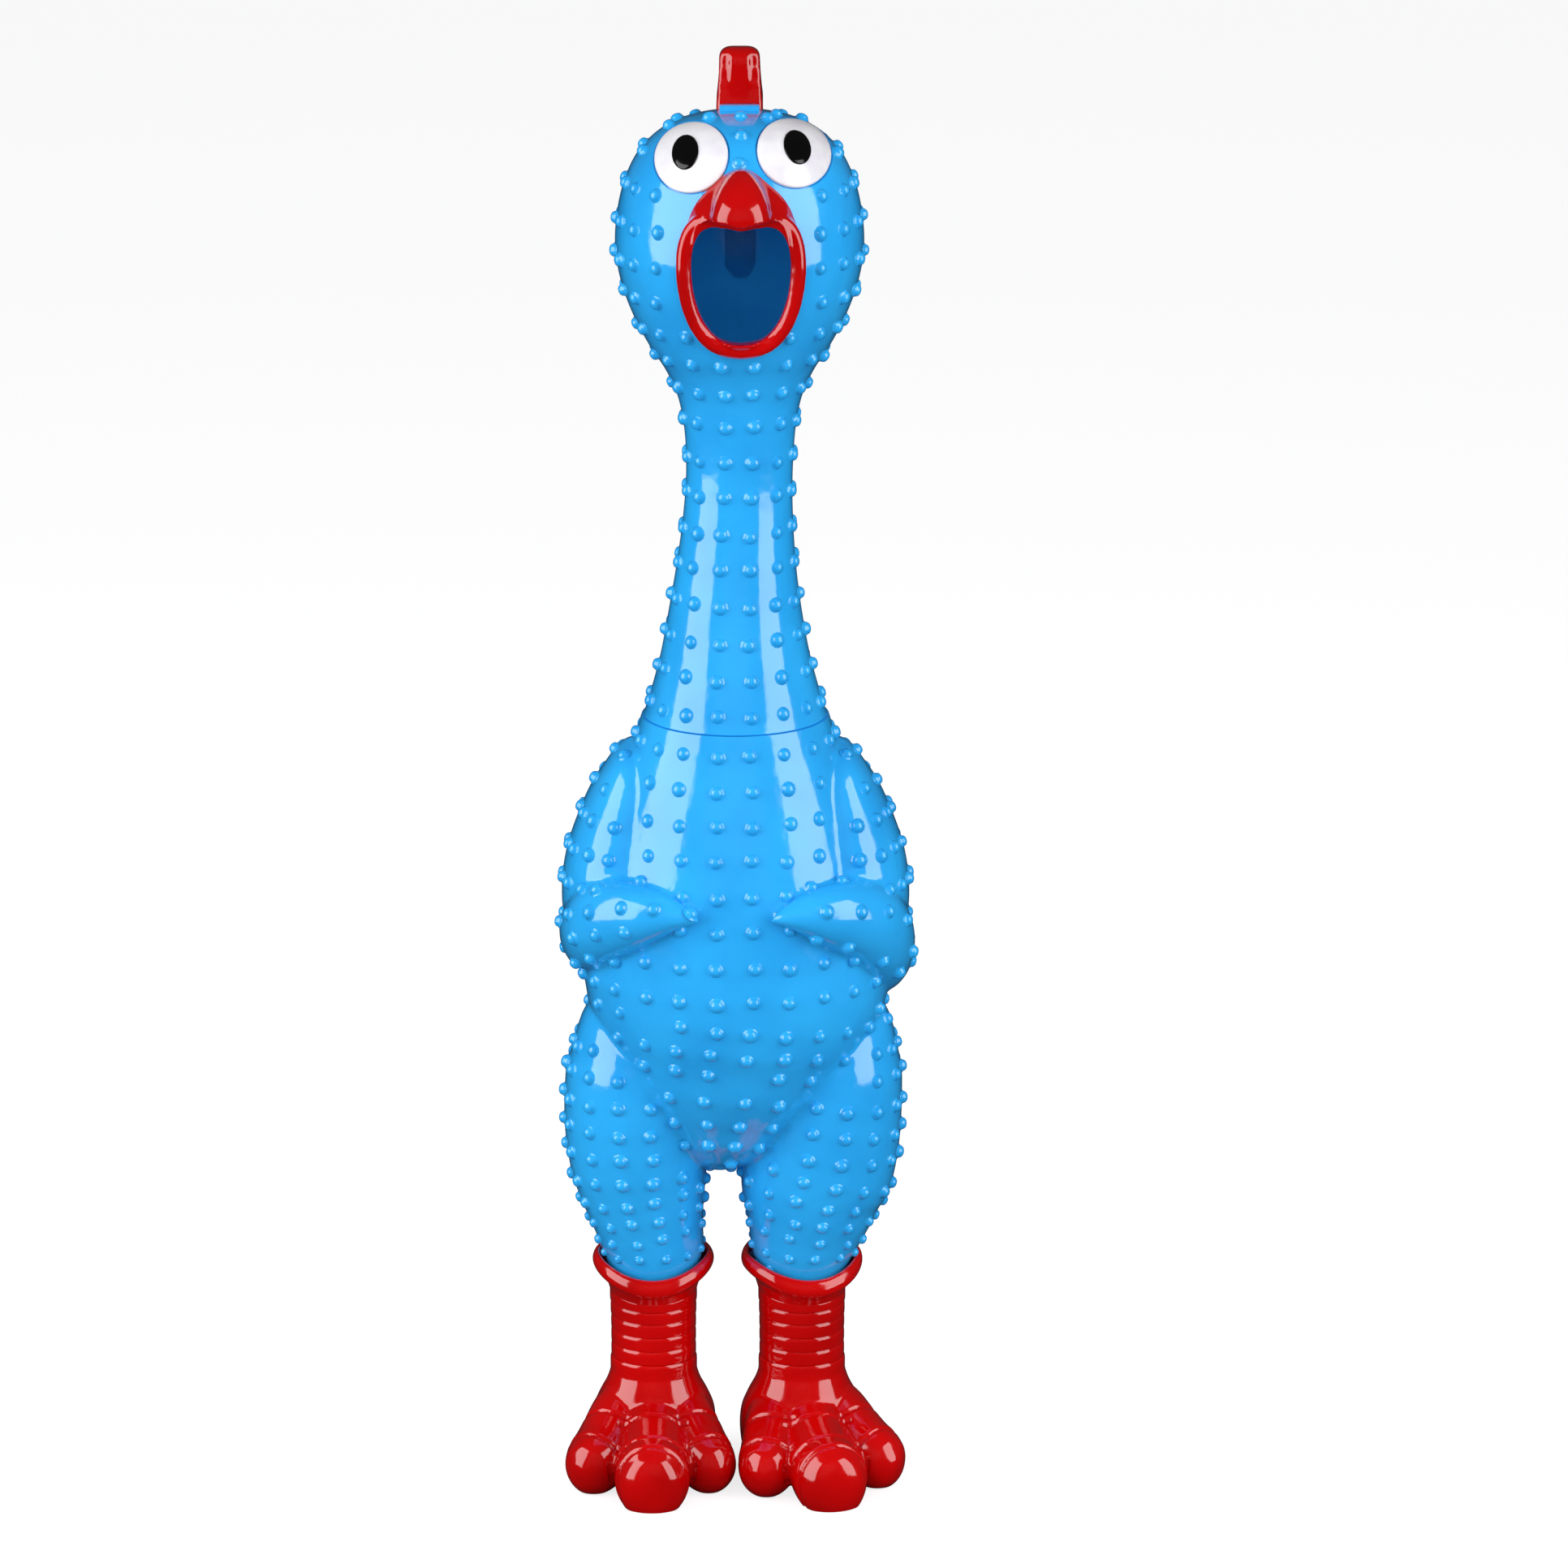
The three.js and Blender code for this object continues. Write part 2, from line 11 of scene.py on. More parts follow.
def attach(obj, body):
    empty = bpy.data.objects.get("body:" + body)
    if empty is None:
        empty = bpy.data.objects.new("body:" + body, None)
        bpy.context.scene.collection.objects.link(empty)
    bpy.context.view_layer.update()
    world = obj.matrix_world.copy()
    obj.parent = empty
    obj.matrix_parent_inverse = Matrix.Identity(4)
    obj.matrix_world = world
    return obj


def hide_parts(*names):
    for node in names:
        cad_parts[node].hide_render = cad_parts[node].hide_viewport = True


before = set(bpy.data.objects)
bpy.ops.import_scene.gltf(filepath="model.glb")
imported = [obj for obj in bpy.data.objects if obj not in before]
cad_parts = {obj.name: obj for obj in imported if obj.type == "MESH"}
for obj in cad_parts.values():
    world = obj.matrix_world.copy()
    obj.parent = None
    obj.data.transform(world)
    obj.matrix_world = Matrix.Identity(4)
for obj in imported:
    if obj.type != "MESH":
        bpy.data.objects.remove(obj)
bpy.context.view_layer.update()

MM = 0.001
AXIS_Y = 2  # legs, body and neck stand this many millimetres behind the middle of the box

# ---------------------------------------------------------------------------
# Body: one hollow moulding of soft PVC with the folded wings and the thighs.
# It is cast in a heated mould that turns, so it has no seam, every corner is
# soft, and its skin is as glossy as the polished mould.
# ---------------------------------------------------------------------------
TORSO = [  # x, y, z, half width, half depth
    (-6, -14, 129.5, 0.5, 0.5), (-6, -13, 131.5, 9, 8), (-5.6, -11, 137, 19.5, 18), (-5, -8, 147, 31, 28),
    (-4, -5, 160, 42, 38), (-2.6, -2, 175, 51.5, 45.5), (-1.2, -0.5, 190, 57.8, 50),
    (0, 0, 205, 60.8, 52), (0, 0, 220, 61.3, 52), (0, 0, 237, 59.8, 51), (0, 0, 255, 56, 48.8),
    (0, 0, 272, 51.4, 45.8), (0, 0, 288, 46.3, 42.4), (0, 0, 300, 42, 40), (0, 0, 308, 39.2, 38.4),
    (0, 0, 314.6, 37.3, 37.3), (0, 0, 321, 35, 35), (0, 0, 326, 33, 33)]
SEAM_Z = 315
SEAM_GAP = 0.05  # each shell stops this far from the seam
LEFT, RIGHT = 1, -1  # the sign of x on each side of the chicken
ANKLE = {LEFT: 26.5, RIGHT: -33.5}
LEG_STUB = [(78, 16.8), (66, 14.8), (58, 12.5)]  # height and radius inside the boot
THIGH = {  # the left leg is the fuller one
    LEFT: [
        (41, 1, 207, 0.5, 0.5), (41.5, 1, 202, 11, 15), (42, 0, 190, 20.5, 24), (39.8, 0, 175, 26.5, 30),
        (38.4, 0, 160, 28.5, 31.5), (36.4, 0, 145, 30, 31.5), (33.8, 0, 130, 30.4, 30.5),
        (30.8, 0, 119, 29.3, 28.5), (29.3, 0, 109, 26.4, 26), (28, 0, 101, 23.6, 23.4),
        (27, 0, 94, 21.4, 21.4), (26.5, 0, 86, 18.9, 18.9)],
    RIGHT: [
        (-41, 1, 207, 0.5, 0.5), (-41.5, 1, 202, 11, 15), (-42, 0, 190, 20.5, 24), (-40.2, 0, 175, 27, 30),
        (-40.2, 0, 160, 28.6, 31.5), (-39.9, 0, 145, 29, 31), (-39, 0, 130, 27.9, 29),
        (-37.6, 0, 119, 25.8, 26.4), (-36, 0, 109, 23.4, 24), (-34.6, 0, 101, 21.6, 21.8),
        (-33.5, 0, 94, 20.4, 20.4), (-33.5, 0, 86, 18.9, 18.9)]}
UPPER_ARM = [
    (41, 2, 305, 0.5, 0.5), (40.8, 2, 301, 6.5, 12), (41, 1, 290, 13.4, 23.5), (42.6, 1, 275, 18.8, 28.5),
    (44.8, 0, 258, 22.4, 31), (47, -1, 242, 22.4, 32), (48, -1, 228, 19.5, 26), (50, 0, 216, 10, 12),
    (50, 0, 212, 0.5, 0.5)]
WING_END = [(49.5, -27, 238, 17, 15), (39, -39.5, 243, 13.5, 12), (28, -47.5, 245.5, 8.6, 8),
            (19.5, -51.5, 245.5, 3.9, 4.2), (14, -53.8, 244.5, 0.4, 0.4)]
FOREARM = {  # the left elbow hangs a little lower
    LEFT: [(44, 22, 212, 0.5, 0.5), (50, 16, 212.5, 13, 11), (55.5, 3, 216.5, 17.5, 14.6),
           (56, -13, 227.5, 18, 15), *WING_END],
    RIGHT: [(43, 22, 219, 0.5, 0.5), (49, 16, 219.5, 12.5, 11), (54, 3, 222.5, 15.6, 14),
            (55, -13, 230, 17, 15), *WING_END]}


def curve(rows, count):
    """Points on a smooth curve through rows of any length, evenly spaced between the rows."""
    rows = np.array(rows, dtype=float)
    padded = np.vstack([2 * rows[0] - rows[1], rows, 2 * rows[-1] - rows[-2]])
    places = np.linspace(0, len(rows) - 1, count)
    out = []
    for place in places:
        i = min(int(place), len(rows) - 2)
        t = place - i
        a, b, c, d = padded[i:i + 4]
        out.append(0.5 * (2 * b + (c - a) * t + (2 * a - 5 * b + 4 * c - d) * t ** 2
                          + (3 * b - a - 3 * c + d) * t ** 3))
    return np.array(out)


def limb_frames(points, side=(1, 0, 0)):
    """One matrix for each row of x, y, z, half width and half depth: a unit circle to the limb's section."""
    frames = []
    for i, (x, y, z, wide, deep) in enumerate(points):
        along = Vector(points[min(i + 1, len(points) - 1)][:3]) - Vector(points[max(i - 1, 0)][:3])
        along.normalize()
        across = Vector(side) - along * Vector(side).dot(along)
        across.normalize()
        turn = Matrix((across, along.cross(across), along)).transposed().to_4x4()
        grow = Matrix.Diagonal((max(wide, 0.15) * MM, max(deep, 0.15) * MM, MM, 1))
        frames.append(Matrix.Translation(Vector((x, y + AXIS_Y, z)) * MM) @ turn @ grow)
    return frames


def push(bm, face):
    """Extrudes a face in place and gives the new face, whose corners can then be moved."""
    pushed = bmesh.ops.extrude_face_region(bm, geom=[face, *face.edges, *face.verts])["geom"]
    return next(g for g in pushed if isinstance(g, bmesh.types.BMFace))


def add_limb(bm, rows, rings=40, segments=40, side=(1, 0, 0)):
    """A closed limb: a round face at its start, pushed out ring by ring along its curve."""
    frames = limb_frames(curve(rows, rings), side)
    made = bmesh.ops.create_circle(bm, cap_ends=True, segments=segments, radius=1, matrix=frames[0])
    face = made["verts"][0].link_faces[0]
    for before, after in zip(frames, frames[1:]):
        face = push(bm, face)
        bmesh.ops.transform(bm, matrix=after @ before.inverted(), verts=face.verts)


def mirrored(rows):
    """A left limb's rows as the right one's, or the other way round."""
    return [(-x, *rest) for x, *rest in rows]


def to_object(name, bm):
    """The bmesh as an object whose faces all point outwards."""
    bmesh.ops.remove_doubles(bm, verts=bm.verts, dist=0.01 * MM)
    bmesh.ops.recalc_face_normals(bm, faces=bm.faces)
    mesh = bpy.data.meshes.new(name)
    bm.to_mesh(mesh)
    bm.free()
    made = bpy.data.objects.new(name, mesh)
    bpy.context.scene.collection.objects.link(made)
    return made


def settle(obj):
    """Applies an object's modifiers to its mesh."""
    depsgraph = bpy.context.evaluated_depsgraph_get()
    mesh = bpy.data.meshes.new_from_object(obj.evaluated_get(depsgraph))
    obj.modifiers.clear()
    old = obj.data
    obj.data = mesh
    mesh.name = obj.name
    bpy.data.meshes.remove(old)


def melt(obj, grain, rounds):
    """Casts overlapping closed shapes into one skin, with corners softened by rounds of smoothing."""
    remesh = obj.modifiers.new("cast", "REMESH")
    remesh.mode = "VOXEL"
    remesh.voxel_size = grain * MM
    remesh.adaptivity = 0
    smooth = obj.modifiers.new("soften", "SMOOTH")
    smooth.iterations = rounds
    smooth.factor = 0.5
    settle(obj)


def combine(obj, tool, operation):
    """Cuts a tool from an object, or joins it on, and removes the tool."""
    boolean = obj.modifiers.new("combine", "BOOLEAN")
    boolean.operation = operation
    boolean.solver = "MANIFOLD"
    boolean.object = tool
    settle(obj)
    bpy.data.objects.remove(tool)


def dress(obj, material, angle):
    """Gives a piece its one material and smooth shading, with edges sharper than an angle left crisp."""
    faces = obj.data.polygons
    obj.data.materials.clear()
    obj.data.materials.append(material)
    faces.foreach_set("material_index", [0] * len(faces))
    faces.foreach_set("use_smooth", [True] * len(faces))
    obj.data.set_sharp_from_angle(angle=math.radians(angle))


def add_spun(bm, outline, steps):
    """A body turned round the chicken's upright axis from pairs of radius and height in millimetres."""
    verts = [bm.verts.new((r * MM, AXIS_Y * MM, z * MM)) for r, z in outline]
    edges = [bm.edges.new(pair) for pair in zip(verts, verts[1:])]
    bmesh.ops.spin(bm, geom=verts + edges, cent=(0, AXIS_Y * MM, 0), axis=(0, 0, 1), angle=2 * math.pi,
                   steps=steps, use_merge=True)


def linear(code):
    """An sRGB hex colour as linear red, green, blue and alpha."""
    parts = [int(code[i:i + 2], 16) / 255 for i in (0, 2, 4)]
    return [p / 12.92 if p <= 0.04045 else ((p + 0.055) / 1.055) ** 2.4 for p in parts] + [1]


def node(tree, kind, inputs=(), **settings):
    """Adds a shader node with its settings, and its inputs as values or as links from other sockets."""
    made = tree.nodes.new(kind)
    for key, value in settings.items():
        setattr(made, key, value)
    for key, value in dict(inputs).items():
        if isinstance(value, bpy.types.NodeSocket):
            tree.links.new(value, made.inputs[key])
        else:
            made.inputs[key].default_value = value
    return made


def rotocast_pvc(name, colour, pooled, roughness=0.12):
    """Soft PVC as it leaves a polished mould: one deep gloss colour that pools slightly darker and lighter
    over a few centimetres, a skin that waves over 12 mm, and a fine orange peel of under a millimetre."""
    material = bpy.data.materials.new(name)
    material.use_nodes = True
    tree = material.node_tree
    shader = tree.nodes["Principled BSDF"]
    shader.inputs["IOR"].default_value = 1.54
    shader.inputs["Coat Weight"].default_value = 0.85
    shader.inputs["Coat Roughness"].default_value = 0.04
    place = node(tree, "ShaderNodeTexCoord").outputs["Object"]
    pool = node(tree, "ShaderNodeTexNoise", {"Vector": place, "Scale": 1 / (38 * MM), "Detail": 2.0})
    tint = node(tree, "ShaderNodeValToRGB", {"Fac": pool.outputs["Fac"]})
    tint.color_ramp.elements[0].position = 0.32
    tint.color_ramp.elements[0].color = linear(pooled)
    tint.color_ramp.elements[1].position = 0.62
    tint.color_ramp.elements[1].color = linear(colour)
    tree.links.new(tint.outputs["Color"], shader.inputs["Base Color"])
    cloud = node(tree, "ShaderNodeTexNoise", {"Vector": place, "Scale": 1 / (9 * MM), "Detail": 3.0})
    gloss = node(tree, "ShaderNodeMapRange", {"Value": cloud.outputs["Fac"], "To Min": roughness * 0.7,
                                              "To Max": roughness * 1.5})
    tree.links.new(gloss.outputs["Result"], shader.inputs["Roughness"])
    slow = node(tree, "ShaderNodeTexNoise", {"Vector": place, "Scale": 1 / (12 * MM), "Detail": 2.0})
    fine = node(tree, "ShaderNodeTexNoise", {"Vector": place, "Scale": 1 / (0.9 * MM), "Detail": 1.0})
    waves = node(tree, "ShaderNodeBump", {"Height": slow.outputs["Fac"], "Strength": 0.6,
                                          "Distance": 0.8 * MM})
    peel = node(tree, "ShaderNodeBump", {"Height": fine.outputs["Fac"], "Strength": 0.06,
                                         "Distance": 0.06 * MM, "Normal": waves.outputs["Normal"]})
    tree.links.new(peel.outputs["Normal"], shader.inputs["Normal"])
    return material


blue_pvc = rotocast_pvc("rotocast_pvc_gloss_sky_blue", "2db1fb", "26a3ee")
body_bm = bmesh.new()
add_limb(body_bm, TORSO, 80, 72)
for side, turned in ((LEFT, list), (RIGHT, mirrored)):
    stub = [(ANKLE[side], 0, z, r, r) for z, r in LEG_STUB]
    add_limb(body_bm, THIGH[side] + stub, 60, 48)
    add_limb(body_bm, turned(UPPER_ARM), 40, 40)
    add_limb(body_bm, turned(FOREARM[side]), 48, 40, side=(0, 0, 1))
body = to_object("body_skin", body_bm)
melt(body, 1.2, 2)
for name, operation, outline in (
        ("collar", "DIFFERENCE", [(0, SEAM_Z - SEAM_GAP), (80, SEAM_Z - SEAM_GAP), (80, 340), (0, 340)]),
        ("spigot", "UNION", [(0, 306), (26.6, 306), (26.6, 318.6), (28.3, 319.7), (28.3, 320.7), (27.4, 322),
                             (0, 322)]),
        ("bore", "DIFFERENCE", [(0, 298), (23.8, 298), (23.8, 330), (0, 330)])):
    tool_bm = bmesh.new()
    add_spun(tool_bm, outline, 96)
    combine(body, to_object(name, tool_bm), operation)
dress(body, blue_pvc, 35)
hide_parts("body_shell")
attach(body, "body")

# ---------------------------------------------------------------------------
# Head and neck: the second blue moulding, a pear on a long throat. Its root
# snaps over the body's spigot, its wall is cut clean at the mouth, and a crest
# and two eye beds are cast in its skin.
# ---------------------------------------------------------------------------
HEAD = [  # radius and height
    (36.3, 315.5), (35.4, 318), (32.7, 327), (29.4, 340), (26.5, 356), (23.8, 374), (21.9, 392), (21, 408),
    (21.2, 422), (22.3, 434), (24.8, 445), (29.4, 455), (35.8, 465), (41, 475), (45.3, 486), (47.9, 497),
    (48.6, 507), (47.4, 519), (44.6, 530), (39.7, 540), (32, 548), (22.5, 553), (11, 555.6), (0, 556.2)]
WALL = 2.5
head_line = curve(HEAD, 150)
head_line[-1][0] = 0


def moved_out(line, distance):
    """A turned outline moved along its own normals, away from the axis for a positive distance."""
    steps = np.gradient(line, axis=0)
    normal = np.stack([steps[:, 1], -steps[:, 0]], axis=1) / np.linalg.norm(steps, axis=1)[:, None]
    moved = line + normal * distance
    moved[:, 0] = np.maximum(moved[:, 0], 0)
    moved[-1][0] = 0
    return moved


def head_solid(name, distance, steps=96):
    """The head's outer shape, grown by a distance, as a closed solid."""
    line = [(r, max(z, HEAD[0][1])) for r, z in moved_out(head_line, distance)]
    bm = bmesh.new()
    add_spun(bm, [(0, line[0][1]), *line], steps)
    return to_object(name, bm)


def bvh(obj):
    """A search tree of an object's faces."""
    mesh = obj.data
    return BVHTree.FromPolygons([v.co for v in mesh.vertices], [p.vertices for p in mesh.polygons])


MOUTH_X = 0.8  # the mouth stands this much to the chicken's left
MOUTH_HALF = [(0, 518.2), (6, 519.3), (12, 519.6), (16.1, 517), (18.4, 511.5), (19.1, 504), (18.5, 495.5),
              (16.7, 487.5), (13.6, 480.3), (8.4, 474.6), (0, 472.6)]


def mouth_ring(grow):
    """Points x, z round the mouth's edge, moved outwards by a distance."""
    half = MOUTH_HALF + [(-x, z) for x, z in MOUTH_HALF[-2:0:-1]]
    wrapped = [half[-1], *half, half[0], half[1]]
    ring = curve(wrapped, (len(wrapped) - 1) * 4 + 1)[4:-5]
    step = np.roll(ring, -1, axis=0) - np.roll(ring, 1, axis=0)
    normal = np.stack([-step[:, 1], step[:, 0]], axis=1) / np.linalg.norm(step, axis=1)[:, None]
    return ring + normal * grow + (MOUTH_X, 0)


def column(name, outline, front, back):
    """A flat outline of x, z points as a closed column from front to back."""
    bm = bmesh.new()
    face = bm.faces.new([bm.verts.new((x * MM, (front + AXIS_Y) * MM, z * MM)) for x, z in outline])
    bmesh.ops.translate(bm, verts=push(bm, face).verts, vec=(0, (back - front) * MM, 0))
    return to_object(name, bm)


SOCKET_R = 27.2  # of the root, where it snaps over the spigot
SOCKET_TOP = 319
MOUTH_ROOM = 1.9  # the wall is cut back this far for the beak
head_bm = bmesh.new()
inner_line = [(r, z) for r, z in moved_out(head_line, -WALL) if z > SOCKET_TOP]
root_line = [(36, SEAM_Z + SEAM_GAP), (SOCKET_R, SEAM_Z + SEAM_GAP), (SOCKET_R, 318.4),
             (inner_line[0][0], SOCKET_TOP)]
add_spun(head_bm, [*head_line[::-1], *root_line, *inner_line], 128)
head = to_object("head_skin", head_bm)
combine(head, column("mouth_cutter", mouth_ring(MOUTH_ROOM), -80, -15), "DIFFERENCE")

# ---------------------------------------------------------------------------
# Comb: a red hollow PVC moulding pushed over a hollow blue crest of the head,
# from the crown round to the back. The crest's hollow shows through the mouth.
# ---------------------------------------------------------------------------
COMB = [  # degrees from straight back, height over the skin
    (83, 4), (84.3, 14), (84.5, 20.5), (82, 23.8), (77, 25), (71, 25.2), (65, 22.8), (59.5, 17.5), (54, 12.8),
    (50, 12.8), (44, 18), (37, 20.2), (30, 18), (24.5, 12), (20, 8.5), (15, 11), (8, 14.6), (0, 14.6),
    (-7, 11.4), (-14, 8.4), (-21, 6.2), (-28, 3.8), (-35.5, 0.6)]
CROWN_R = 49  # from the middle of the head to the skin over the comb
HEAD_Z = 507
COMB_THICK = 15.9
STEP_THICK = 15.4
CREST_THICK = 14.3


def comb_plate(name, rows, root, thick):
    """A flat plate from the comb's side view, rounded at its rear end, with its root inside the skin."""
    outer = curve([(a, CROWN_R + h) for a, h in rows], 90)
    inner = [(a, CROWN_R - root) for a in np.linspace(rows[-1][0], rows[0][0], 40)]
    bm = bmesh.new()
    corners = {}
    for angle, radius in [*outer, *inner]:
        turn = math.radians(angle)
        place = Vector((0, AXIS_Y + math.cos(turn) * radius, HEAD_Z + math.sin(turn) * radius)) * MM
        past = max(math.radians(angle - rows[-1][0]) * CROWN_R, 0.6)
        half = thick / 2
        if past < half:
            half = math.sqrt(half * half - (half - past) ** 2)
        corners[bm.verts.new(place)] = half
    near = bm.faces.new(corners)
    far = push(bm, near)
    opposite = {tuple(vert.co): vert for vert in far.verts}
    for vert, half in corners.items():
        opposite[tuple(vert.co)].co.x = half * MM
        vert.co.x = -half * MM
    return to_object(name, bm)


RIM = 4  # radius of the comb's rounded rim
FLARE_Z = 575  # the comb's foot spreads below this height
STEP = [(88.5, 0.3), (87.8, 1.6), (86.2, 2.2), (83, 2.4), (79, 2.4)]  # the blue step under the comb's front
CREST = 6  # height of the head's hollow blue crest inside the comb
red_pvc = rotocast_pvc("rotocast_pvc_gloss_signal_red", "c80203", "ae0102", roughness=0.11)
comb = comb_plate("comb_skin", COMB, 16, COMB_THICK)
melt(comb, 0.8, 8)
ridge_angles, ridge_heights = curve(COMB, 90)[::-1].T
for vert in comb.data.vertices:
    y, z = vert.co.y / MM - AXIS_Y, vert.co.z / MM - HEAD_Z
    ridge = CROWN_R + np.interp(math.degrees(math.atan2(z, y)), ridge_angles, ridge_heights)
    below = min(max(ridge - math.hypot(y, z), 0) / RIM, 1)
    flare = 0.14 * min(max((FLARE_Z - vert.co.z / MM) / 17, 0), 1) ** 2
    vert.co.x *= (1 - RIM / 8 * (1 - math.sqrt(below * (2 - below)))) * (1 + flare)
melt(comb, 0.8, 6)
combine(comb, head_solid("below_comb", 0.1), "DIFFERENCE")
combine(comb, comb_plate("step_room", [(a - 1, h + 0.15) for a, h in STEP], 6, 15.7), "DIFFERENCE")
crest_room = [(a * 0.958 + 1.3, min(h - 1.3, CREST + 0.3)) for a, h in COMB]
combine(comb, comb_plate("crest_room", crest_room, 16, 14.7), "DIFFERENCE")
combine(comb, comb_plate("comb_hollow", [(a, h - 4) for a, h in COMB[4:-2]], 16, 9.6), "DIFFERENCE")
dress(comb, red_pvc, 50)
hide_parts("comb")
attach(comb, "head")
crest_rows = [(a * 0.955 + 1.5, min(max(h - 2.2, 0.3), CREST)) for a, h in COMB]
crest = comb_plate("crest", crest_rows, 6, CREST_THICK)
combine(crest, head_solid("head_inside", -WALL * 0.6), "DIFFERENCE")
combine(head, crest, "UNION")
step = comb_plate("step", STEP, 4, STEP_THICK)
combine(step, head_solid("under_step", -WALL * 0.6), "DIFFERENCE")
combine(head, step, "UNION")
hollow_rows = [(a * 0.975 + 0.7, h - 1.1) for a, h in crest_rows]
combine(head, comb_plate("crest_hollow", hollow_rows, 14, 12.3), "DIFFERENCE")

# ---------------------------------------------------------------------------
# Beak: a red PVC moulding glued in the mouth's opening. The hood of the upper
# beak overhangs the mouth, and runs down each cheek into a round lower lip.
# ---------------------------------------------------------------------------
HOOD = [  # y, z, half width, half depth
    (-38, 541.6, 0.5, 0.5), (-37.5, 540.4, 4, 4.4), (-37, 537.8, 9.2, 9.2), (-36, 533.8, 14.6, 15),
    (-35, 529, 18.8, 21), (-34, 524, 21.3, 26), (-33, 519, 23, 28.6), (-32, 513, 24.3, 28.5),
    (-31.5, 507, 24.9, 25.6), (-31, 499, 24.8, 22.6), (-30, 491, 23.6, 20.6), (-29, 484, 21.2, 19.5),
    (-28, 478, 17.3, 19), (-27, 473, 10.4, 18.5), (-27, 470, 0.5, 12)]
RIDGE = [(-40, 539.5, 4, 3.4), (-45, 534.5, 8, 6.8), (-49.8, 529.5, 10.4, 8.8), (-53.2, 525, 11.4, 9.2),
         (-54.4, 521, 11.4, 8), (-54.4, 515, 9, 6), (-54.4, 512, 0.5, 0.5)]


LIP_R = 3.1
LIP_PROUD = 2.5  # of the skin
RECESS = 3.4  # the opening is this much taller in front, under the hood
RECESS_Z = 508


def skin_front(x, z):
    """How far in front of the axis the head's skin stands at a place off its middle."""
    r = np.interp(z, head_line[:, 1], head_line[:, 0])
    return -math.sqrt(max(r * r - x * x, 0))


hood_bm = bmesh.new()
add_limb(hood_bm, [(MOUTH_X, *row) for row in HOOD], 70, 64)
add_limb(hood_bm, [(MOUTH_X, *row) for row in RIDGE], 30, 40)
hood = to_object("hood", hood_bm)
melt(hood, 0.8, 44)
beak_bm = bmesh.new()
beak_bm.from_mesh(hood.data)
bpy.data.objects.remove(hood)
lip_path = [(x, skin_front(x, z) - LIP_PROUD, z, LIP_R, LIP_R) for x, z in mouth_ring(3.0)]
lip_path += lip_path[:2]
add_limb(beak_bm, lip_path, 130, 20, side=(0.05, 1, 0.02))
beak = to_object("beak_skin", beak_bm)
melt(beak, 0.7, 3)
combine(beak, column("mouth", mouth_ring(0), -90, -10), "DIFFERENCE")
raised = [(x, z + RECESS * min(max((z - RECESS_Z) / 8, 0), 1)) for x, z in mouth_ring(0)]
combine(beak, column("mouth_front", raised, -90, -50), "DIFFERENCE")
combine(beak, head_solid("behind_beak", -2.2), "DIFFERENCE")
melt(beak, 0.6, 7)
dress(beak, red_pvc, 60)
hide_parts("beak")
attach(beak, "head")

# ---------------------------------------------------------------------------
# Eyes: two domed ovals of white ABS, pressed into beds sunk in the head, each
# with a glossy black pupil. The beds leave a fine groove round each eye.
# ---------------------------------------------------------------------------
EYES = {  # the pupil's x and z on the eye, and its twist in degrees
    LEFT: {"x": 21.2, "z": 546.2, "pupil": (0.3, 0.2, -13)},
    RIGHT: {"x": -18.4, "z": 543.9, "pupil": (-1.4, 0.3, 3)}}
EYE_Y = -29.5
EYE_TILT = 17
EYE_WIDE, EYE_TALL = 14.2, 14.9
GROOVE = 0.75  # between an eye and the edge of its bed
BED_DEPTH = 1.3
probe = head_solid("probe", 0, 160)
skin_tree = bvh(probe)


def eye_view(side):
    """The matrix of one eye: its own x, z plane looks out of the head, slightly up."""
    place = Vector((EYES[side]["x"], EYE_Y + AXIS_Y, EYES[side]["z"])) * MM
    return Matrix.Translation(place) @ Matrix.Rotation(math.radians(-EYE_TILT), 4, "X")


def add_cap(bm, view, wide, tall, centre, twist, steps):
    """An oval cap on the head's skin, ring by ring: each step is a share of its size and a height over it."""
    turn = Matrix.Rotation(math.radians(twist), 4, "Y")
    circle = bmesh.ops.create_circle(bm, cap_ends=True, segments=56, radius=1,
                                     matrix=Matrix.Rotation(math.pi / 2, 4, "X"))
    face = circle["verts"][0].link_faces[0]
    rings = [list(face.verts)]
    for _ in steps[1:]:
        face = push(bm, face)
        rings.append(list(face.verts))
    look = view.to_3x3() @ Vector((0, 1, 0))
    for (share, height), ring in zip(steps, rings):
        for vert in ring:
            flat = turn @ Vector((vert.co.x * wide * share, 0, vert.co.z * tall * share))
            start = view @ ((flat + Vector((centre[0], -40, centre[1]))) * MM)
            hit, normal, _, _ = skin_tree.ray_cast(start, look)
            if hit is None:
                hit, normal, _, _ = skin_tree.find_nearest(start + look * 40 * MM)
            vert.co = hit + normal * height * MM


def cap_steps(rim, dome, sunk):
    """A cap from the middle of its underside, out to its edge, up a rounded rim and in over its dome."""
    under = [(share, -sunk) for share in (0.03, 0.35, 0.7, 1)]
    edge = [(1, rim * 0.35), (0.985, rim * 0.75), (0.955, rim)]
    over = [(share, rim + dome * (1 - (share / 0.955) ** 2)) for share in np.linspace(0.9, 0.03, 12)]
    return under + edge + over


